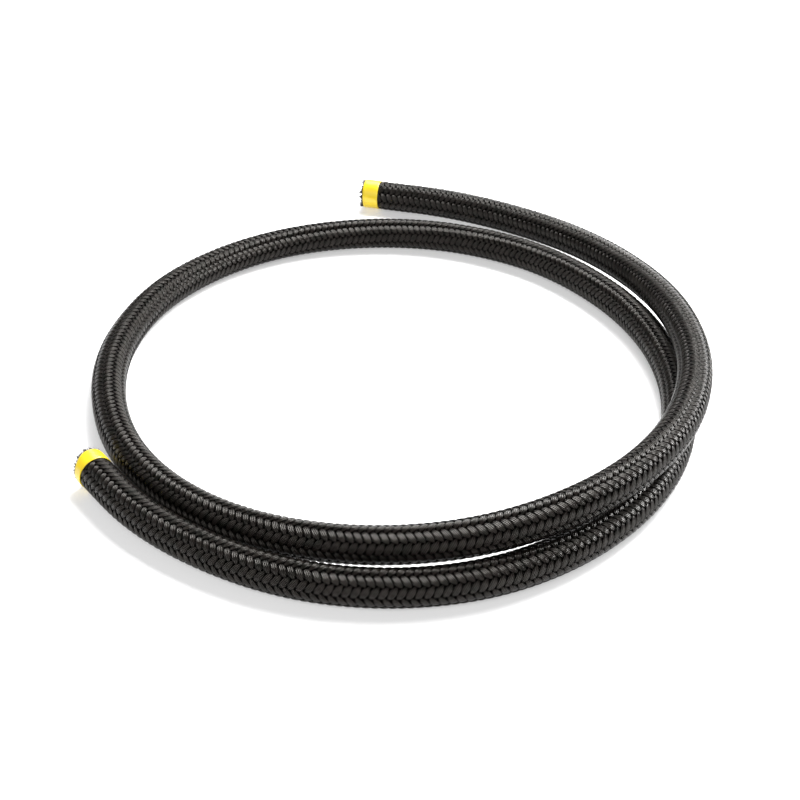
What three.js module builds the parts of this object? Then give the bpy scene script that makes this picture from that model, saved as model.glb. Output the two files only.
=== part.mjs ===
// Braided hose: a bare length of rubber hose with a woven nylon cover, lying in a loose coil.
// Both cut ends are bound with yellow tape. Units are millimetres, +Z is up, and the origin
// is on the floor below the middle of the coil.

import * as THREE from "three";

// Hose section
const boreDiameter = 14.2;
const tubeWall = 1.5;
const coverWall = 2.0;
const coverGap = 0.3;

// Tape round each cut end
const tapeWidth = 12.7;
const tapeThickness = 0.4;
const tapeGap = 0.3;

// Lie of the hose: the mean radius of its turns, and the straight stretch behind each cut end
const coilRadius = 190;
const endStraight = 33;

// Facets of the round sections, and steps along the whole hose
const hoseSides = 12;
const tapeSides = 36;
const hoseSteps = 78;

const boreRadius = boreDiameter / 2;
const tubeRadius = boreRadius + tubeWall;
const coverBore = tubeRadius + coverGap;
const hoseRadius = coverBore + coverWall;
const hoseDiameter = 2 * hoseRadius;
const tapeBore = hoseRadius + tapeGap;
const tapeRadius = tapeBore + tapeThickness;

// Lift of the hose where the tape under it stands on the floor, in hose diameters
const onTape = (tapeRadius - hoseRadius) / hoseDiameter;

// The route, as it was laid down by hand: [angle in degrees, how far outside coilRadius, how far
// above the floor], the last two in hose diameters. The first turn lies flat. The second one
// starts inside it, climbs over it at the right, and runs outwards down to the floor.
const stations = [
  [-147.8, 0.27, onTape],
  [-126, 0.04, 0.01],
  [-102, -0.03, 0],
  [-78, -0.20, 0],
  [-54, -0.53, 0],
  [-30, -0.79, 0],
  [-6, -0.88, 0],
  [18, -0.67, 0],
  [42, -0.14, 0],
  [66, 0.60, 0],
  [90, 1.12, 0],
  [114, 1.25, 0],
  [138, 0.91, 0],
  [162, 0.25, 0],
  [186, -0.36, 0.02],
  [210, -0.73, 0.1],
  [234, -0.95, 0.25],
  [258, -1.01, 0.48],
  [282, -0.96, 0.72],
  [306, -0.86, 0.96],
  [330, -0.74, 1.06],
  [354, -0.54, 1.01],
  [378, -0.05, 0.84],
  [402, 0.95, 0.48],
  [426, 2.41, 0.12],
  [449.6, 3.79, onTape],
];

// A smooth curve through stations given as angle, radius and height about the coil's axis
class CoilCurve extends THREE.Curve {
  constructor(polarPoints) {
    super();
    this.polar = new THREE.CatmullRomCurve3(polarPoints, false, "catmullrom", 0.5);
    this.arcLengthDivisions = 400;
  }

  getPoint(t, target = new THREE.Vector3()) {
    const { x: angle, y: radius, z: height } = this.polar.getPoint(t);
    return target.set(radius * Math.cos(angle), radius * Math.sin(angle), height);
  }
}

function makeRoute() {
  const turns = new CoilCurve(stations.map(([degrees, out, lift]) => new THREE.Vector3(
    THREE.MathUtils.degToRad(degrees),
    coilRadius + out * hoseDiameter,
    hoseRadius + lift * hoseDiameter,
  )));
  const start = turns.getPoint(0);
  const finish = turns.getPoint(1);
  const level = (tangent) => tangent.setZ(0).normalize().multiplyScalar(endStraight);
  const nearEnd = start.clone().sub(level(turns.getTangent(0)));
  const farEnd = finish.clone().add(level(turns.getTangent(1)));

  const route = new THREE.CurvePath();
  route.add(new THREE.LineCurve3(nearEnd, start));
  route.add(turns);
  route.add(new THREE.LineCurve3(finish, farEnd));
  return route;
}

// A ring-shaped section whose first corner points down once it is swept along a level route
function ringSection(outerRadius, innerRadius, sides) {
  const corners = (radius) => Array.from({ length: sides }, (_, i) => {
    const angle = (2 * Math.PI * i) / sides;
    return new THREE.Vector2(radius * Math.cos(angle), radius * Math.sin(angle));
  });
  const ring = new THREE.Shape(corners(outerRadius));
  ring.holes.push(new THREE.Path(corners(innerRadius).reverse()));
  return ring;
}

function sweep(name, section, path, steps, colour, roughness) {
  const geometry = new THREE.ExtrudeGeometry(section, { extrudePath: path, steps, curveSegments: 1 });
  const material = new THREE.MeshStandardMaterial({ color: colour, roughness, metalness: 0 });
  const mesh = new THREE.Mesh(geometry, material);
  mesh.name = name;
  return mesh;
}

// The tape is wound on a straight end, with facets drawn outside its true bore so that they
// clear the corners of the hose
function makeTape(name, cutEnd, inward) {
  const along = inward.clone().sub(cutEnd).normalize().multiplyScalar(tapeWidth);
  const axis = new THREE.LineCurve3(cutEnd, cutEnd.clone().add(along));
  const innerRadius = tapeBore / Math.cos(Math.PI / tapeSides);
  return sweep(name, ringSection(tapeRadius, innerRadius, tapeSides), axis, 1, 0xe6d24a, 0.35);
}

const route = makeRoute();
const [nearStub, , farStub] = route.curves;

const hose = new THREE.Group();
hose.add(
  sweep("rubber_tube", ringSection(tubeRadius, boreRadius, hoseSides), route, hoseSteps, 0x191919, 0.8),
  sweep("braid_cover", ringSection(hoseRadius, coverBore, hoseSides), route, hoseSteps, 0x2b2a2c, 0.6),
  makeTape("end_tape_near", nearStub.v1, nearStub.v2),
  makeTape("end_tape_far", farStub.v2, farStub.v1),
);

// The origin goes to the floor below the middle of the hose's box
const middle = new THREE.Box3().setFromObject(hose).getCenter(new THREE.Vector3());
hose.position.set(-middle.x, -middle.y, 0);

export default hose;
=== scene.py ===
import bpy
import math
import random
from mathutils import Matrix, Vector


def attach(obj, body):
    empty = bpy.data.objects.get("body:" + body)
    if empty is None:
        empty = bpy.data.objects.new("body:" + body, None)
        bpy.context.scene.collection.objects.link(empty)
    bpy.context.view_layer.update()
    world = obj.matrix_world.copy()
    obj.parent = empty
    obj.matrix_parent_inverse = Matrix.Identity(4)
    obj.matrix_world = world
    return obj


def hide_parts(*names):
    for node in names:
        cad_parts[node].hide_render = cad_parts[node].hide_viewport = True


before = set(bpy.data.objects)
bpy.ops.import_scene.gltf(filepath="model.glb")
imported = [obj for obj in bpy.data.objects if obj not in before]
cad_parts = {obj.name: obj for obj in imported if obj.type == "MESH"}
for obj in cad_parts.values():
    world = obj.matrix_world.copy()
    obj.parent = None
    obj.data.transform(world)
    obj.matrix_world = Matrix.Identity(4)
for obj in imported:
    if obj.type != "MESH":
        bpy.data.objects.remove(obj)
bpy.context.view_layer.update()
scene = bpy.context.scene

# The camera looks at the coil from in front, a metre away and a little over a third of a right
# angle above the floor, so that the coil nearly fills the picture's width.
lens = 67.8
aim = Vector((0.0007, -0.0415, 0.0006))
eye = Vector((0.0007, -0.8375, 0.5291))
camera = bpy.data.objects.new("camera", bpy.data.cameras.new("camera"))
camera.data.lens = lens
camera.data.sensor_width = 36
camera.location = eye
camera.rotation_euler = (aim - eye).to_track_quat("-Z", "Y").to_euler()
scene.collection.objects.link(camera)
scene.camera = camera

# The lay of the hose: a loose coil of under two turns, put down by hand. The second turn starts
# inside the first, climbs over it at the right and runs out to the floor. A station is an angle in
# degrees, then the way outside the coil's mean radius and above the floor, in hose diameters.
hose_diameter = 0.0218
hose_radius = hose_diameter / 2
coil_radius = 0.190
end_straight = 0.033
coil_middle = Vector((0.0030586, -0.0468783, 0.0))
on_tape = 0.0007 / hose_diameter
stations = [
    (-147.8, 0.27, on_tape),
    (-126, 0.04, 0.01),
    (-102, -0.03, 0),
    (-78, -0.20, 0),
    (-54, -0.53, 0),
    (-30, -0.79, 0),
    (-6, -0.88, 0),
    (18, -0.67, 0),
    (42, -0.14, 0),
    (66, 0.60, 0),
    (90, 1.12, 0),
    (114, 1.25, 0),
    (138, 0.91, 0),
    (162, 0.25, 0),
    (186, -0.36, 0.02),
    (210, -0.73, 0.1),
    (234, -0.95, 0.25),
    (258, -1.01, 0.48),
    (282, -0.96, 0.72),
    (306, -0.86, 0.96),
    (330, -0.74, 1.06),
    (354, -0.54, 1.01),
    (378, -0.05, 0.84),
    (402, 0.95, 0.48),
    (426, 2.41, 0.12),
    (449.6, 3.79, on_tape),
]
points_between_stations = 24
straight_steps = 12


def between(a, b, c, d, t):
    """The smooth curve from b to c, with a and d as their neighbours."""
    leave, reach = (c - a) / 2, (d - b) / 2
    return (
        (2 * b - 2 * c + leave + reach) * t**3
        + (3 * c - 3 * b - 2 * leave - reach) * t**2
        + leave * t
        + b
    )


def coil_point(degrees, out, lift):
    """A point of the hose's middle line."""
    angle = math.radians(degrees)
    radius = coil_radius + out * hose_diameter
    height = hose_radius + lift * hose_diameter
    return coil_middle + Vector((radius * math.cos(angle), radius * math.sin(angle), height))


def laid_turns():
    """The middle line of the hose between its two straight ends."""
    polar = [Vector(station) for station in stations]
    polar = [2 * polar[0] - polar[1], *polar, 2 * polar[-1] - polar[-2]]
    points = []
    for a, b, c, d in zip(polar, polar[1:], polar[2:], polar[3:]):
        for step in range(points_between_stations):
            points.append(coil_point(*between(a, b, c, d, step / points_between_stations)))
    return points + [coil_point(*stations[-1])]


def straight_on(last, before, length, steps):
    """Level points that carry a line straight on past its last point."""
    onward = last - before
    onward.z = 0
    onward = onward.normalized() * length
    return [last + onward * (step + 1) / steps for step in range(steps)]


turns = laid_turns()
near_end = straight_on(turns[0], turns[1], end_straight, straight_steps)
far_end = straight_on(turns[-1], turns[-2], end_straight, straight_steps)
route = near_end[::-1] + turns + far_end
hose_length = sum((b - a).length for a, b in zip(route, route[1:]))
print("hose length", hose_length, "ends", route[0][:], route[-1][:])


def line_object(name, points, turned):
    """A curve object that runs straight from point to point, with the roll that it has at each."""
    curve = bpy.data.curves.new(name, "CURVE")
    curve.dimensions = "3D"
    spline = curve.splines.new("POLY")
    spline.points.add(len(points) - 1)
    for spot, point, tilt in zip(spline.points, points, turned):
        spot.co = (*point, 1)
        spot.tilt = tilt
    made = bpy.data.objects.new(name, curve)
    scene.collection.objects.link(made)
    return made


# The rubber tube: extruded black rubber with an open bore, cut square at the far end and a little
# aslant at the near one. The braid hides all of it but the cut faces and the bore.
bore_radius = 0.0071
tube_radius = 0.0086
tube_sides = 40
tube_spacing = 6
near_slant = 0.0052
near_slant_turn = math.radians(-20)


def out_and_up(along):
    """The level way out and the way up, both square to the way along."""
    out = along.cross(Vector((0, 0, 1))).normalized()
    return out, out.cross(along)


def hose_frames(points):
    """At each point of a line, the point itself, the way along, the way out and the way up."""
    frames = []
    for i, point in enumerate(points):
        along = (points[min(i + 1, len(points) - 1)] - points[max(i - 1, 0)]).normalized()
        frames.append((point, along, *out_and_up(along)))
    return frames


def finished(name, mesh, material, slot, *nodes):
    """Puts a mesh in the scene as a piece of the hose."""
    piece = bpy.data.objects.new(name, mesh)
    scene.collection.objects.link(piece)
    if material:
        mesh.materials.clear()
        mesh.materials.append(material)
    mesh.polygons.foreach_set("use_smooth", [True] * len(mesh.polygons))
    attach(piece, "root")
    if nodes:
        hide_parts(*nodes)
    return piece


def near_cut(radius, angle):
    """How far the slanting cut at the near end lies behind the foremost point of the hose."""
    return near_slant * (1 + radius / hose_radius * math.cos(angle - near_slant_turn)) / 2


def ring_tube(points, outer, inner, sides):
    """A closed tube with a bore, as vertices and faces."""
    rings = hose_frames(points)
    verts, faces = [], []
    for radius in (outer, inner):
        for r, (point, along, out, up) in enumerate(rings):
            for i in range(sides):
                angle = 2 * math.pi * i / sides
                spot = point + radius * (math.cos(angle) * out + math.sin(angle) * up)
                verts.append(spot if r else spot + along * near_cut(radius, angle))
    count = len(rings)
    for surface in (0, 1):
        base = surface * count * sides
        for r in range(count - 1):
            for i in range(sides):
                j = (i + 1) % sides
                a, b = base + r * sides + i, base + r * sides + j
                quad = (a, b, b + sides, a + sides)
                faces.append(quad if surface == 0 else quad[::-1])
    for ring, flip in ((0, False), (count - 1, True)):
        for i in range(sides):
            j = (i + 1) % sides
            a, b = ring * sides + i, ring * sides + j
            quad = (b, a, a + count * sides, b + count * sides)
            faces.append(quad[::-1] if flip else quad)
    return verts, faces


def blank_material(name):
    """A new material, its node tree and its shader."""
    material = bpy.data.materials.new(name)
    material.use_nodes = True
    return material, material.node_tree, material.node_tree.nodes["Principled BSDF"]


def node(tree, kind, **settings):
    """A node of a tree, with its settings made."""
    made = tree.nodes.new(kind)
    for key, value in settings.items():
        if key[0].isupper():
            made.inputs[key.replace("_", " ")].default_value = value
        else:
            setattr(made, key, value)
    return made


def speckle(tree, scale, detail, shades):
    """A noise that stays with the piece, and the colour that it picks from the shades."""
    place = node(tree, "ShaderNodeTexCoord")
    noise = node(tree, "ShaderNodeTexNoise", Scale=scale, Detail=detail)
    tree.links.new(place.outputs["Object"], noise.inputs["Vector"])
    tint = node(tree, "ShaderNodeValToRGB")
    tree.links.new(noise.outputs["Fac"], tint.inputs["Fac"])
    ramp = tint.color_ramp.elements
    while len(ramp) < len(shades):
        ramp.new(0.5)
    for i, (position, colour) in enumerate(shades):
        ramp[i].position = position
        ramp[i].color = (*colour, 1)
    return noise.outputs["Fac"], tint.outputs["Color"]


rubber, web, shader = blank_material("black rubber")
dusty_shades = ((0.35, (0.009, 0.009, 0.009)), (0.75, (0.028, 0.027, 0.025)))
dust, tint = speckle(web, 900, 3, dusty_shades)
web.links.new(tint, shader.inputs["Base Color"])
grain = node(web, "ShaderNodeBump", Strength=0.3, Distance=0.0002)
web.links.new(dust, grain.inputs["Height"])
web.links.new(grain.outputs["Normal"], shader.inputs["Normal"])
shader.inputs["Roughness"].default_value = 0.7

tube_line = route[:-1:tube_spacing] + [route[-1]]
tube_mesh = bpy.data.meshes.new("rubber_tube_inside")
verts, faces = ring_tube(tube_line, tube_radius, bore_radius, tube_sides)
tube_mesh.from_pydata(verts, [], faces)
tube = finished("rubber_tube_inside", tube_mesh, rubber, "tube_rubber", "rubber_tube")

# The cover: twenty flat yarns of black nylon, half of them wound one way and half the other.
# Each passes over two of the other hand and under two, which gives rows of short slanting floats
# along the hose.
carriers = 20
row_pitch = 0.00456
wave = 0.00068
yarn_width = 0.0039
yarn_thickness = 0.00105
narrowing = 0.24
yarn_sides = 9
samples_per_wave = 11
yarn_crowding = 0.4
float_flatness = 0.35
float_thinning = 0.1
overhang = 0.0003
tape_width = 0.0127
pinch = 0.0003
pinch_slope = 0.003
pinch_flattening = 0.4
weld_distance = 0.000001
smallest_share = 0.000000001

# How the rows of floats creep round the hose: millimetres from the near cut end, then how many
# degrees they have turned from the top towards the outward side.
mm_per_metre = 1000
creep = [
    (0, -20),
    (142, -16),
    (292, -11),
    (560, -6),
    (612, -1),
    (762, -10),
    (900, -34),
    (1069, -50),
    (1150, -46),
    (1392, -16),
    (1452, -12),
    (1542, -8),
    (1663, -16),
    (1760, -36),
    (1920, -44),
    (2069, -48),
]


class Reading:
    """A number that a node tree works out at each point, written as plain sums."""

    def __init__(self, tree, socket):
        self.tree, self.socket = tree, socket

    def plug(self, target):
        if isinstance(self.socket, (int, float)):
            target.default_value = self.socket
        else:
            self.tree.links.new(self.socket, target)

    def math(self, operation, *others):
        made = node(self.tree, "ShaderNodeMath", operation=operation)
        for slot, value in zip(made.inputs, (self, *others)):
            value = value if isinstance(value, Reading) else Reading(self.tree, value)
            value.plug(slot)
        return Reading(self.tree, made.outputs[0])

    def __add__(self, other):
        return self.math("ADD", other)

    def __sub__(self, other):
        return self.math("SUBTRACT", other)

    def __mul__(self, other):
        return self.math("MULTIPLY", other)

    def __truediv__(self, other):
        return self.math("DIVIDE", other)

    __radd__, __rmul__ = __add__, __mul__

    def __rsub__(self, other):
        return self * -1 + other


def vector_math(tree, operation, first, second=None, scale=None):
    """One vector sum of a node tree."""
    made = node(tree, "ShaderNodeVectorMath", operation=operation)
    tree.links.new(first, made.inputs[0])
    if second is not None:
        tree.links.new(second, made.inputs[1])
    if scale is not None:
        scale.plug(made.inputs["Scale"])
    return made.outputs[0]


def combine(tree, x, y, z):
    """Three numbers joined in one vector."""
    made = node(tree, "ShaderNodeCombineXYZ")
    for slot, value in zip(made.inputs, (x, y, z)):
        value = value if isinstance(value, Reading) else Reading(tree, value)
        value.plug(slot)
    return made.outputs[0]


def store(tree, geometry, name, value):
    """The geometry, with a vector kept at each of its points under a name."""
    settings = {"data_type": "FLOAT_VECTOR", "domain": "POINT", "Name": name}
    made = node(tree, "GeometryNodeStoreNamedAttribute", **settings)
    tree.links.new(geometry, made.inputs["Geometry"])
    tree.links.new(value, made.inputs["Value"])
    return made.outputs["Geometry"]


def yarn_tree():
    """Geometry nodes that wind one yarn of the braid along the lay of the hose."""
    tree = bpy.data.node_groups.new("braid yarn", "GeometryNodeTree")
    face = tree.interface
    face.new_socket("Geometry", in_out="OUTPUT", socket_type="NodeSocketGeometry")
    face.new_socket("Lay", in_out="INPUT", socket_type="NodeSocketObject")
    face.new_socket("Yarn Number", in_out="INPUT", socket_type="NodeSocketInt")
    shape = ("Hand", "Narrowing", "Yarns A Hand", "Crowding", "Cut Slant", "Cut Turn")
    lengths = ("Length", "Overhang", "Lead", "Middle Radius", "Wave", "Width", "Thickness")
    for name in (*shape, *lengths, "Tape", "Pinch", "Pinch Slope"):
        face.new_socket(name, in_out="INPUT", socket_type="NodeSocketFloat")
    face.new_socket("Samples", in_out="INPUT", socket_type="NodeSocketInt")
    face.new_socket("Sides", in_out="INPUT", socket_type="NodeSocketInt")
    face.new_socket("Material", in_out="INPUT", socket_type="NodeSocketMaterial")
    given = node(tree, "NodeGroupInput")
    result = node(tree, "NodeGroupOutput")

    def read(name):
        return Reading(tree, given.outputs[name])

    lay = node(tree, "GeometryNodeObjectInfo")
    tree.links.new(given.outputs["Lay"], lay.inputs["Object"])
    upright = node(tree, "GeometryNodeSetCurveNormal", mode="Z_UP")
    tree.links.new(lay.outputs["Geometry"], upright.inputs["Curve"])

    sheet = node(tree, "GeometryNodeMeshGrid", Size_X=1, Size_Y=1)
    tree.links.new((read("Samples") + 1).socket, sheet.inputs["Vertices X"])
    tree.links.new((read("Sides") + 1).socket, sheet.inputs["Vertices Y"])
    place = node(tree, "GeometryNodeInputPosition")
    split = node(tree, "ShaderNodeSeparateXYZ")
    tree.links.new(place.outputs[0], split.inputs[0])
    share = Reading(tree, split.outputs[0]) + 0.5
    round_share = Reading(tree, split.outputs[1]) + 0.5

    # Neighbours of one hand start half a wave apart. A wave is four crossings long: over two yarns
    # of the other hand and under two.
    hand, lead = read("Hand"), read("Lead")
    start = read("Yarn Number") * 0.5 + 0.25 - hand * 0.375
    along = share * read("Length")
    wave_place = along * read("Yarns A Hand") / (lead * 2) + start
    crest = (wave_place * (2 * math.pi)).math("COSINE")
    flat = crest * ((1 + float_flatness) - crest * crest * float_flatness)
    begun = read("Yarn Number") * (2 * math.pi) / read("Yarns A Hand")
    angle = along * hand * (2 * math.pi) / lead + begun

    # The tape binds the yarns down near both cut ends, and each yarn closes to a point at its ends.
    from_end = along.math("MINIMUM", read("Length") - along)
    bound = (read("Tape") + read("Pinch Slope") - from_end) / read("Pinch Slope")
    bound = bound.math("MAXIMUM", 0).math("MINIMUM", 1)
    bound = bound * bound * (3 - bound * 2)
    closed_end = (share * (1 - share)).math("GREATER_THAN", smallest_share)
    fullness = (1 - read("Narrowing") * (1 - crest)) * closed_end

    # A yarn's section is flat, with most of its points on the upper side, where they show.
    round_angle = round_share * (2 * math.pi)
    round_angle = round_angle + round_angle.math("COSINE") * read("Crowding")
    across = round_angle.math("COSINE") * read("Width") * fullness / 2
    above = round_angle.math("SINE") * read("Thickness") * closed_end / 2
    above = above * (crest * float_thinning + (1 - float_thinning))
    middle = read("Middle Radius")
    radius = middle + flat * read("Wave") * (1 - bound * pinch_flattening) - bound * read("Pinch")
    girth = middle * (2 * math.pi)
    slope = girth.math("ARCTAN2", lead)
    turned = angle - across * slope.math("COSINE") * hand / middle
    cut_back = ((turned - read("Cut Turn")).math("COSINE") + 1) * read("Cut Slant") / 2
    shifted = (along + across * slope.math("SINE")).math("MAXIMUM", cut_back) + read("Overhang")

    sample = node(tree, "GeometryNodeSampleCurve", mode="LENGTH", use_all_curves=False)
    tree.links.new(upright.outputs["Curve"], sample.inputs["Curves"])
    shifted.plug(sample.inputs["Length"])
    out = sample.outputs["Normal"]
    up = vector_math(tree, "CROSS_PRODUCT", out, sample.outputs["Tangent"])
    away = vector_math(
        tree,
        "ADD",
        vector_math(tree, "SCALE", out, scale=turned.math("COSINE")),
        vector_math(tree, "SCALE", up, scale=turned.math("SINE")),
    )
    spot = vector_math(
        tree,
        "ADD",
        sample.outputs["Position"],
        vector_math(tree, "SCALE", away, scale=radius + above),
    )

    # The material reads where a point lies on its yarn, for the filament lines and the painted
    # shade, and which way the filaments run there.
    from_crest = (wave_place + 0.5).math("FRACT") - 0.5
    fibre = combine(tree, along / slope.math("COSINE"), across / read("Width"), from_crest)
    round_about = vector_math(tree, "CROSS_PRODUCT", away, sample.outputs["Tangent"])
    run = vector_math(
        tree,
        "ADD",
        vector_math(tree, "SCALE", sample.outputs["Tangent"], scale=slope.math("COSINE")),
        vector_math(tree, "SCALE", round_about, scale=slope.math("SINE") * hand),
    )
    bend = crest * crest * (3 * float_flatness) - (1 + float_flatness)
    dive = (wave_place * (2 * math.pi)).math("SINE") * bend * read("Wave")
    dive = dive * read("Yarns A Hand") * math.pi / lead * slope.math("COSINE")
    run = vector_math(tree, "ADD", run, vector_math(tree, "SCALE", away, scale=dive))
    geometry = store(tree, sheet.outputs["Mesh"], "fibre", fibre)
    geometry = store(tree, geometry, "run", run)

    move = node(tree, "GeometryNodeSetPosition")
    tree.links.new(geometry, move.inputs["Geometry"])
    tree.links.new(spot, move.inputs["Position"])
    weld = node(tree, "GeometryNodeMergeByDistance", Distance=weld_distance)
    tree.links.new(move.outputs["Geometry"], weld.inputs["Geometry"])
    real = node(tree, "GeometryNodeRealizeInstances")
    tree.links.new(weld.outputs["Geometry"], real.inputs["Geometry"])
    coat = node(tree, "GeometryNodeSetMaterial")
    tree.links.new(real.outputs["Geometry"], coat.inputs["Geometry"])
    tree.links.new(given.outputs["Material"], coat.inputs["Material"])
    tree.links.new(coat.outputs["Geometry"], result.inputs["Geometry"])
    return tree


def grown(name, tree, **values):
    """The plain mesh that a node tree makes when its inputs are set."""
    base = bpy.data.objects.new(name, bpy.data.meshes.new(name))
    scene.collection.objects.link(base)
    modifier = base.modifiers.new("shape", "NODES")
    modifier.node_group = tree
    for socket in tree.interface.items_tree:
        if socket.in_out == "INPUT" and socket.name in values:
            modifier[socket.identifier] = values[socket.name]
    seen = base.evaluated_get(bpy.context.evaluated_depsgraph_get())
    mesh = bpy.data.meshes.new_from_object(seen)
    bpy.data.objects.remove(base)
    return mesh


# A float shines like a petal round its crest. Painted shade darkens its colour and dims its shine
# towards its edges and ends, where it dives under its neighbours. Its filaments lie on it as fine
# lines that sway a little.
petal_length = 0.3
petal_rim = 1.15
petal_fade = 0.42
least_painted_light = 0.03
filament_lines = 28
filament_sways = 900
sway_depth = 0.5
line_darkness = 0.2
line_dullness = 0.3
nylon_shine = 0.4

nylon, web, shader = blank_material("black nylon yarn")
fibre = node(web, "ShaderNodeAttribute", attribute_name="fibre")
parts = node(web, "ShaderNodeSeparateXYZ")
web.links.new(fibre.outputs["Vector"], parts.inputs[0])
along, across, from_crest = (Reading(web, socket) for socket in parts.outputs)
nylon_shades = (
    (0.32, (0.005, 0.0052, 0.004)),
    (0.46, (0.009, 0.0076, 0.0062)),
    (0.56, (0.011, 0.0082, 0.0076)),
    (0.7, (0.015, 0.013, 0.0105)),
)
_, tint = speckle(web, 160, 1, nylon_shades)
petal = (across * 2).math("ABSOLUTE") + (from_crest / petal_length) * (from_crest / petal_length)
# Painted shade: the colour darkens from the float's crest towards its edges and ends, down to a
# least share.
painted_shading = ((petal_rim - petal) / petal_fade).math("MAXIMUM", least_painted_light).math("MINIMUM", 1)
sway = (along * filament_sways).math("SINE") * sway_depth
strands = (across * filament_lines + sway).math("SINE")
painted_shading_and_lines = painted_shading * (strands * line_darkness + (1 - line_darkness))
shaded = node(web, "ShaderNodeMix", data_type="RGBA", blend_type="MULTIPLY")
shaded.inputs[0].default_value = 1
web.links.new(tint, shaded.inputs[6])
painted_shading_and_lines.plug(shaded.inputs[7])
web.links.new(shaded.outputs[2], shader.inputs["Base Color"])
bump = node(web, "ShaderNodeBump", Strength=0.8, Distance=0.0003)
strands.plug(bump.inputs["Height"])
web.links.new(bump.outputs["Normal"], shader.inputs["Normal"])
# The same painted shade dims the shine towards the float's edges and ends.
shine = painted_shading * (strands * line_dullness + (1 - line_dullness)) * nylon_shine
shine.plug(shader.inputs["Specular IOR Level"])
shader.inputs["Specular Tint"].default_value = (1.0, 0.95, 0.88, 1)
shader.inputs["Roughness"].default_value = 0.31
shader.inputs["Anisotropic"].default_value = 0.85
shader.inputs["Anisotropic Rotation"].default_value = 0.25
run = node(web, "ShaderNodeAttribute", attribute_name="run")
web.links.new(run.outputs["Vector"], shader.inputs["Tangent"])

lead = row_pitch * carriers / 2
middle_radius = hose_radius - wave - yarn_thickness / 2
spare = 0.003
spare_steps = 2
before_route = straight_on(route[0], route[1], spare, spare_steps)[::-1]
past_route = straight_on(route[-1], route[-2], spare, spare_steps)
wound = before_route + route + past_route


def rolls(points):
    """The creep of the rows at each point of a line, in radians."""
    found = []
    travelled = -spare * mm_per_metre
    stretch = 0
    for i, point in enumerate(points):
        travelled += (point - points[i - 1]).length * mm_per_metre if i else 0
        while stretch < len(creep) - 2 and travelled > creep[stretch + 1][0]:
            stretch += 1
        (start, low), (stop, high) = creep[stretch : stretch + 2]
        share = min(max((travelled - start) / (stop - start), 0), 1)
        found.append(math.radians(low + (high - low) * share))
    return found


lay = line_object("lay", wound, rolls(wound))
wind = yarn_tree()
waves = (hose_length + 2 * overhang) * carriers / (4 * lead)
for hand, hand_name in ((1.0, "right"), (-1.0, "left")):
    for number in range(carriers // 2):
        name = f"braid_yarn_{hand_name}_{number + 1}"
        mesh = grown(
            name,
            wind,
            **{
                "Lay": lay,
                "Yarn Number": number,
                "Hand": hand,
                "Narrowing": narrowing,
                "Yarns A Hand": carriers / 2,
                "Crowding": yarn_crowding,
                "Length": hose_length + 2 * overhang,
                "Overhang": spare - overhang,
                "Tape": tape_width,
                "Pinch": pinch,
                "Pinch Slope": pinch_slope,
                "Cut Slant": near_slant,
                "Cut Turn": near_slant_turn - math.radians(creep[0][1]),
                "Lead": lead,
                "Middle Radius": middle_radius,
                "Wave": wave,
                "Width": yarn_width,
                "Thickness": yarn_thickness,
                "Samples": round(waves * samples_per_wave),
                "Sides": yarn_sides,
                "Material": nylon,
            },
        )
        mesh.name = name
        finished(name, mesh, None, "cover_braid")
bpy.data.objects.remove(lay)
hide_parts("braid_cover")

# The tape: glossy yellow vinyl half an inch wide, wound twice round each cut end over the yarns,
# which it presses down. Its last end shows as a small step. It was cut a little unevenly together
# with the hose, so a ragged dark edge of yarn shows past it.
tape_inside = 0.01038
tape_layer = 0.00019
tape_turns = 2
tape_sides = 96
tape_rows = 14
vinyl_bevel = 0.00008
near_set_back = 0.0014
near_waver = 0.0005
far_set_back = 0.0010
tape_waver = 0.0004
near_step = math.radians(40)
far_step = math.radians(200)

# The vinyl sags a little between the yarns: how deep, how often round the hose, how much the sags
# lean, in radians a metre, and how often they come along the hose, in radians a metre too.
tape_sag = 0.00005
sags_round = 8
sag_lean = 1378
sags_along = 690

yellow, web, shader = blank_material("yellow tape")
yellow_shades = ((0.3, (0.68, 0.49, 0.014)), (0.7, (0.76, 0.57, 0.022)))
_, tint = speckle(web, 90, 2, yellow_shades)
web.links.new(tint, shader.inputs["Base Color"])
shader.inputs["Roughness"].default_value = 0.3


def wound_tape(name, end, before, step_at, cut_edge, hose_edge):
    """Tape wound round a cut end, as a closed mesh. The edges are distances from the end."""
    along = (before - end).normalized()
    out, up = out_and_up(along)
    verts, faces = [], []
    for surface in (0, 1):
        for i in range(tape_sides):
            share = (i + 0.5) / tape_sides
            angle = step_at + 2 * math.pi * share
            layers = tape_turns + share if surface == 0 else 0
            away = math.cos(angle) * out + math.sin(angle) * up
            first, last = cut_edge(angle), hose_edge(angle)
            for row in range(tape_rows + 1):
                down = first + (last - first) * row / tape_rows
                radius = tape_inside + tape_layer * layers
                if surface == 0:
                    lobe = math.sin(angle * sags_round + down * sag_lean)
                    radius += tape_sag * lobe * math.sin(down * sags_along)
                    radius -= vinyl_bevel if row in (0, tape_rows) else 0
                verts.append(end + along * down + away * radius)
    ring = tape_rows + 1
    half = tape_sides * ring
    for i in range(tape_sides):
        j = (i + 1) % tape_sides
        for row in range(tape_rows):
            a, b, c, d = i * ring + row, j * ring + row, j * ring + row + 1, i * ring + row + 1
            faces.append((a, b, c, d))
            faces.append((half + d, half + c, half + b, half + a))
        here, there = i * ring, j * ring
        faces.append((here, half + here, half + there, there))
        here, there = here + tape_rows, there + tape_rows
        faces.append((there, half + there, half + here, here))
    mesh = bpy.data.meshes.new(name)
    mesh.from_pydata(verts, [], faces)
    return mesh


def near_cut_edge(angle):
    return near_cut(hose_radius, angle) + near_set_back + near_waver * math.sin(3 * angle + 1)


def near_hose_edge(angle):
    return tape_width + tape_waver * math.sin(angle)


def far_cut_edge(angle):
    return far_set_back + tape_waver * math.sin(2 * angle + 2)


def far_hose_edge(angle):
    return tape_width + tape_waver * math.sin(angle + 2)


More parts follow.
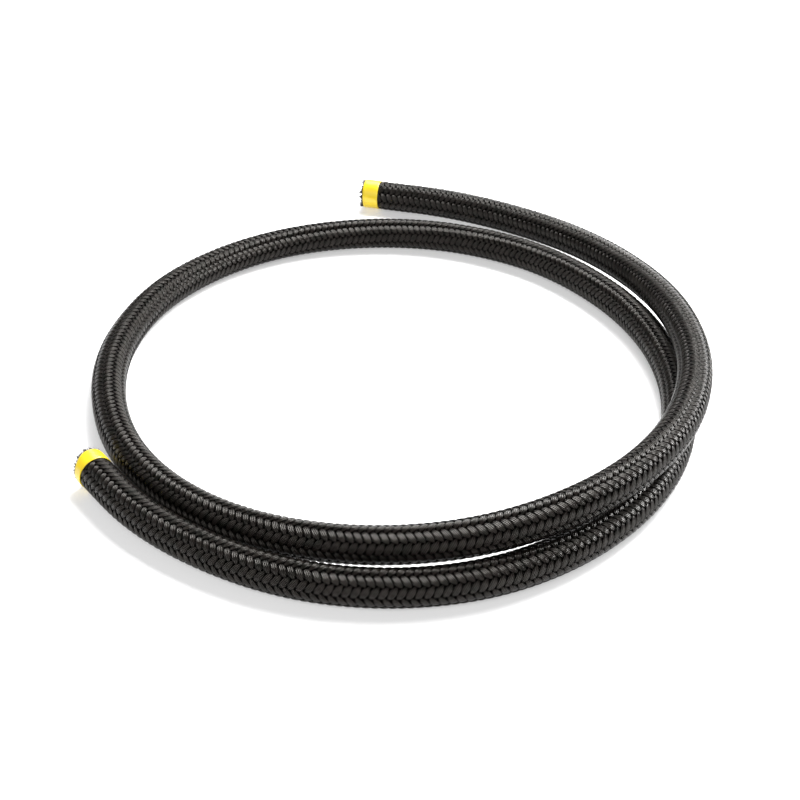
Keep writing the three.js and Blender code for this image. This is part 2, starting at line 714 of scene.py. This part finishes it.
name = "tape_wound_near"
mesh = wound_tape(name, route[0], route[1], near_step, near_cut_edge, near_hose_edge)
tape_near = finished(name, mesh, yellow, "tape_yellow", "end_tape_near")
name = "tape_wound_far"
mesh = wound_tape(name, route[-1], route[-2], far_step, far_cut_edge, far_hose_edge)
tape_far = finished(name, mesh, yellow, "tape_yellow", "end_tape_far")

# The frays: cut filaments of the braid that stand out a little past the tape at both ends. They
# lean more outwards than inwards.
fray_count = 170
fray_length = (0.0010, 0.0036)
fray_root = 0.0008
fray_width = 0.00042
fray_splay = 0.5
fray_least_lean = -0.3
fray_bend = 0.7
fray_sides = 4
fray_ring = (tube_radius + 0.0003, tape_inside - 0.0002)

sooty, web, shader = blank_material("cut nylon filaments")
sooty_shades = ((0, (0.008, 0.007, 0.006)), (1, (0.030, 0.024, 0.021)))
_, tint = speckle(web, 1200, 2, sooty_shades)
web.links.new(tint, shader.inputs["Base Color"])
shader.inputs["Roughness"].default_value = 0.6


def frays(name, end, before, slanting, seed):
    """Tapered filaments round a cut end, each a closed spike."""
    chance = random.Random(seed)
    along = (before - end).normalized()
    out, up = out_and_up(along)
    verts, faces = [], []
    for _ in range(fray_count):
        angle = chance.uniform(0, 2 * math.pi)
        radius = chance.uniform(*fray_ring)
        away = math.cos(angle) * out + math.sin(angle) * up
        around = along.cross(away)
        back = near_cut(radius, angle) if slanting else 0
        root = end + along * (back + fray_root) + away * radius
        lean = away * chance.uniform(fray_least_lean, fray_splay)
        lean += around * chance.uniform(-fray_splay, fray_splay)
        reach = fray_root + chance.uniform(*fray_length)
        tip = root - (along - lean * fray_bend).normalized() * reach
        base = len(verts)
        for side in range(fray_sides):
            turn = 2 * math.pi * side / fray_sides
            verts.append(root + (math.cos(turn) * away + math.sin(turn) * around) * fray_width)
        verts.append(tip)
        for side in range(fray_sides):
            faces.append((base + side, base + (side + 1) % fray_sides, base + fray_sides))
        faces.append(tuple(base + side for side in reversed(range(fray_sides))))
    mesh = bpy.data.meshes.new(name)
    mesh.from_pydata(verts, [], faces)
    return finished(name, mesh, sooty, "cover_braid")


fray_near = frays("frays_near", route[0], route[1], slanting=True, seed=3)
fray_far = frays("frays_far", route[-1], route[-2], slanting=False, seed=8)

route[::4] + [route[-1]]

# The floor is a plain pale sheet that glows faintly, which keeps the shadows on it pale.
floor_reach = 6.0
corners = [(x * floor_reach, y * floor_reach, 0) for x, y in ((-1, -1), (1, -1), (1, 1), (-1, 1))]
sheet = bpy.data.meshes.new("floor")
sheet.from_pydata(corners, [], [(0, 1, 2, 3)])
floor = bpy.data.objects.new("floor", sheet)
scene.collection.objects.link(floor)
paper, web, shader = blank_material("white paper")
shader.inputs["Base Color"].default_value = (0.7, 0.7, 0.7, 1)
shader.inputs["Roughness"].default_value = 0.9
shader.inputs["Emission Color"].default_value = (1, 1, 1, 1)
shader.inputs["Emission Strength"].default_value = 0.33
sheet.materials.append(paper)

# The main light stands high at the right and behind, where it catches the filaments of the top
# row. Weaker ones fill in from the back, from low at the right and from the front.
world = bpy.data.worlds.new("studio")
world.use_nodes = True
sky = world.node_tree.nodes["Background"]
sky.inputs["Color"].default_value = (1, 1, 1, 1)
sky.inputs["Strength"].default_value = 0.2
scene.world = world


def softbox(name, place, target, size, power):
    lamp = bpy.data.lights.new(name, "AREA")
    lamp.shape = "SQUARE"
    lamp.size = size
    lamp.energy = power
    light = bpy.data.objects.new(name, lamp)
    light.location = place
    light.rotation_euler = (Vector(target) - Vector(place)).to_track_quat("-Z", "Y").to_euler()
    scene.collection.objects.link(light)


softbox("key light", place=(0.8, 0.95, 1.6), target=(0, 0, 0), size=1.4, power=125)
softbox("back light", place=(0.1, 1.4, 1.3), target=(0, 0, 0), size=1.2, power=24)
softbox("side light", place=(2.0, 1.3, 0.3), target=(0.2, 0, 0), size=0.8, power=60)
softbox("front light", place=(-0.3, -1.7, 1.2), target=(0, 0, 0), size=1.6, power=32)
scene.view_settings.view_transform = "Standard"
